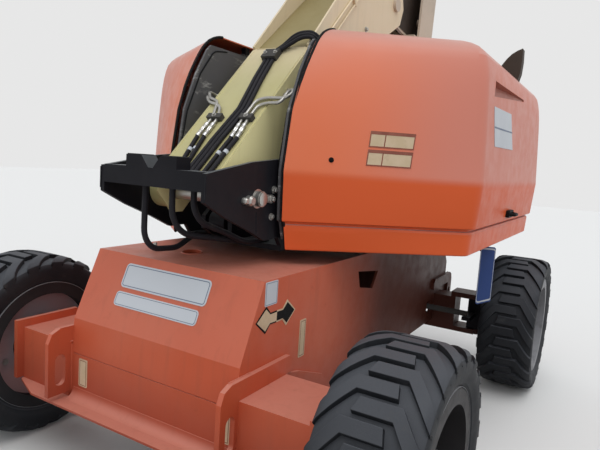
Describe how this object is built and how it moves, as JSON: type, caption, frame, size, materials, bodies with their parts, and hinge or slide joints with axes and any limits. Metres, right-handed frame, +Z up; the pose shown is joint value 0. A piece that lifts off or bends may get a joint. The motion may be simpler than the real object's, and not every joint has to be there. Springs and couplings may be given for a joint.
{
  "type": "articulated telescopic boom lift",
  "caption": "Self-propelled articulated boom lift: four-wheel chassis, swinging turntable with two opening hoods, rising tower, telescoping main boom and a rotating work platform.",
  "frame": {"origin": "centre of the overall box in plan, on the floor under the tyres", "axes": "+X toward the platform along the chassis, +Y to the left side, +Z up"},
  "size_m": [7.1614, 2.49, 3.8434],
  "materials": {
    "orange_paint": "satin",
    "cream_paint": "satin",
    "black_paint": "satin",
    "hood_orange": "satin",
    "iron": "matte",
    "tyre": "matte",
    "rim_grey": "satin",
    "steel": "satin",
    "chrome": "polished",
    "alloy": "satin",
    "plastic": "matte",
    "rubber": "matte"
  },
  "bodies": {
    "chassis": {"chassis_frame": "orange_paint", "drive_axle": "orange_paint", "skid_plate": "orange_paint", "steer_axle": "orange_paint", "swing_bearing": "steel"},
    "turntable": {"turntable_frame": "black_paint", "tower_pin": "steel", "hood_trays": "black_paint", "counterweight": "iron", "inner_panels": "plastic", "engine": "iron", "tank": "plastic", "front_hose_loops": "rubber"},
    "hood_left": {"hood_left": "hood_orange"},
    "hood_right": {"hood_right": "hood_orange"},
    "tower": {"tower_boom": "cream_paint", "upright_pin": "steel", "tower_hoses": "rubber", "tower_tubes": "steel", "hose_clamps": "steel"},
    "upright": {"upright": "cream_paint", "main_pin": "steel"},
    "main_boom": {"main_boom": "cream_paint"},
    "fly_boom": {"fly_boom": "cream_paint"},
    "platform_support": {"platform_support": "black_paint"},
    "platform": {"platform_floor": "alloy", "platform_rails": "cream_paint", "platform_controls": "plastic"},
    "platform_gate": {"platform_gate": "cream_paint"},
    "tower_barrel": {"tower_cylinder_barrel": "black_paint"},
    "tower_rod": {"tower_cylinder_rod": "chrome"},
    "main_barrel": {"main_cylinder_barrel": "black_paint"},
    "main_rod": {"main_cylinder_rod": "chrome"},
    "knuckle_left": {"knuckle_left": "black_paint"},
    "knuckle_right": {"knuckle_right": "black_paint"},
    "tie_rod": {"tie_rod": "steel"},
    "drive_wheel_left": {"drive_tyre_left": "tyre", "drive_rim_left": "rim_grey"},
    "drive_wheel_right": {"drive_tyre_right": "tyre", "drive_rim_right": "rim_grey"},
    "steer_wheel_left": {"steer_tyre_left": "tyre", "steer_rim_left": "rim_grey"},
    "steer_wheel_right": {"steer_tyre_right": "tyre", "steer_rim_right": "rim_grey"}
  },
  "joints": [
    {"name": "drive_roll_left", "type": "hinge", "parent": "chassis", "child": "drive_wheel_left", "pos_m": [-0.6707, 1.0675, 0.47], "axis": [0, 1, 0], "continuous": true},
    {"name": "drive_roll_right", "type": "hinge", "parent": "chassis", "child": "drive_wheel_right", "pos_m": [-0.6707, -1.0675, 0.47], "axis": [0, 1, 0], "continuous": true},
    {"name": "steer_left", "type": "hinge", "parent": "chassis", "child": "knuckle_left", "pos_m": [-3.1107, 0.795, 0.47], "axis": [0, 0, 1], "range_deg": [-38, 38]},
    {"name": "steer_right", "type": "hinge", "parent": "chassis", "child": "knuckle_right", "pos_m": [-3.1107, -0.795, 0.47], "axis": [0, 0, 1], "range_deg": [-38.2, 38.2]},
    {"name": "tie_rod_slide", "type": "slide", "parent": "chassis", "child": "tie_rod", "axis": [0, 1, 0], "range_m": [-0.1512, 0.1512]},
    {"name": "steer_roll_left", "type": "hinge", "parent": "knuckle_left", "child": "steer_wheel_left", "pos_m": [-3.1107, 1.0675, 0.47], "axis": [0, 1, 0], "continuous": true},
    {"name": "steer_roll_right", "type": "hinge", "parent": "knuckle_right", "child": "steer_wheel_right", "pos_m": [-3.1107, -1.0675, 0.47], "axis": [0, 1, 0], "continuous": true},
    {"name": "swing", "type": "hinge", "parent": "chassis", "child": "turntable", "pos_m": [-1.8907, 0, 1.072], "axis": [0, 0, 1], "continuous": true},
    {"name": "hood_open_left", "type": "hinge", "parent": "turntable", "child": "hood_left", "pos_m": [-2.1907, 0.372, 2.11], "axis": [1, 0, 0], "range_deg": [0, 48]},
    {"name": "hood_open_right", "type": "hinge", "parent": "turntable", "child": "hood_right", "pos_m": [-2.1907, -0.372, 2.11], "axis": [-1, 0, 0], "range_deg": [0, 48]},
    {"name": "tower_lift", "type": "hinge", "parent": "turntable", "child": "tower", "pos_m": [-0.8207, 0, 1.355], "axis": [0, 1, 0], "range_deg": [-40, 23.5]},
    {"name": "upright_level", "type": "hinge", "parent": "tower", "child": "upright", "pos_m": [-2.4793, 0, 2.61337], "axis": [0, 1, 0], "range_deg": [-23.6, 40.1]},
    {"name": "tower_barrel_swing", "type": "hinge", "parent": "turntable", "child": "tower_barrel", "pos_m": [-0.9607, 0, 1.215], "axis": [0, 1, 0], "range_deg": [-41.52, 24.39]},
    {"name": "tower_rod_slide", "type": "slide", "parent": "tower_barrel", "child": "tower_rod", "axis": [-0.6682, 0, 0.744], "range_m": [-0.133, 0.0781]},
    {"name": "main_lift", "type": "hinge", "parent": "upright", "child": "main_boom", "pos_m": [-3.0593, 0, 3.42337], "axis": [0, -1, 0], "range_deg": [-7, 75]},
    {"name": "main_barrel_swing", "type": "hinge", "parent": "upright", "child": "main_barrel", "pos_m": [-3.0893, 0, 2.64337], "axis": [0, -1, 0], "range_deg": [-4.19, 44.9]},
    {"name": "main_rod_slide", "type": "slide", "parent": "main_barrel", "child": "main_rod", "axis": [0.8796, 0, 0.4757], "range_m": [-0.057, 0.6108]},
    {"name": "fly_extend", "type": "slide", "parent": "main_boom", "child": "fly_boom", "axis": [1, 0, 0], "range_m": [0, 3]},
    {"name": "platform_level", "type": "hinge", "parent": "fly_boom", "child": "platform_support", "pos_m": [2.1507, 0, 3.33337], "axis": [0, -1, 0], "range_deg": [-75.1, 7.1]},
    {"name": "platform_rotate", "type": "hinge", "parent": "platform_support", "child": "platform", "pos_m": [2.4807, 0, 3.33337], "axis": [0, 0, 1], "range_deg": [-90, 90]},
    {"name": "gate_swing", "type": "hinge", "parent": "platform", "child": "platform_gate", "pos_m": [2.6897, -0.951, 3.29337], "axis": [0, 0, 1], "range_deg": [-90, 0]}
  ],
  "couplings": [
    {"joint": "steer_right", "follows": "steer_left", "ratio": 1},
    {"joint": "tie_rod_slide", "follows": "steer_left", "m_per_rad": 0.225},
    {"joint": "upright_level", "follows": "tower_lift", "ratio": -1},
    {"joint": "tower_barrel_swing", "follows": "tower_lift", "ratio": 1.0177},
    {"joint": "tower_rod_slide", "follows": "tower_lift", "m_per_rad": 0.18676},
    {"joint": "main_barrel_swing", "follows": "main_lift", "ratio": 0.5869},
    {"joint": "main_rod_slide", "follows": "main_lift", "m_per_rad": 0.45744},
    {"joint": "platform_level", "follows": "main_lift", "ratio": -1}
  ]
}
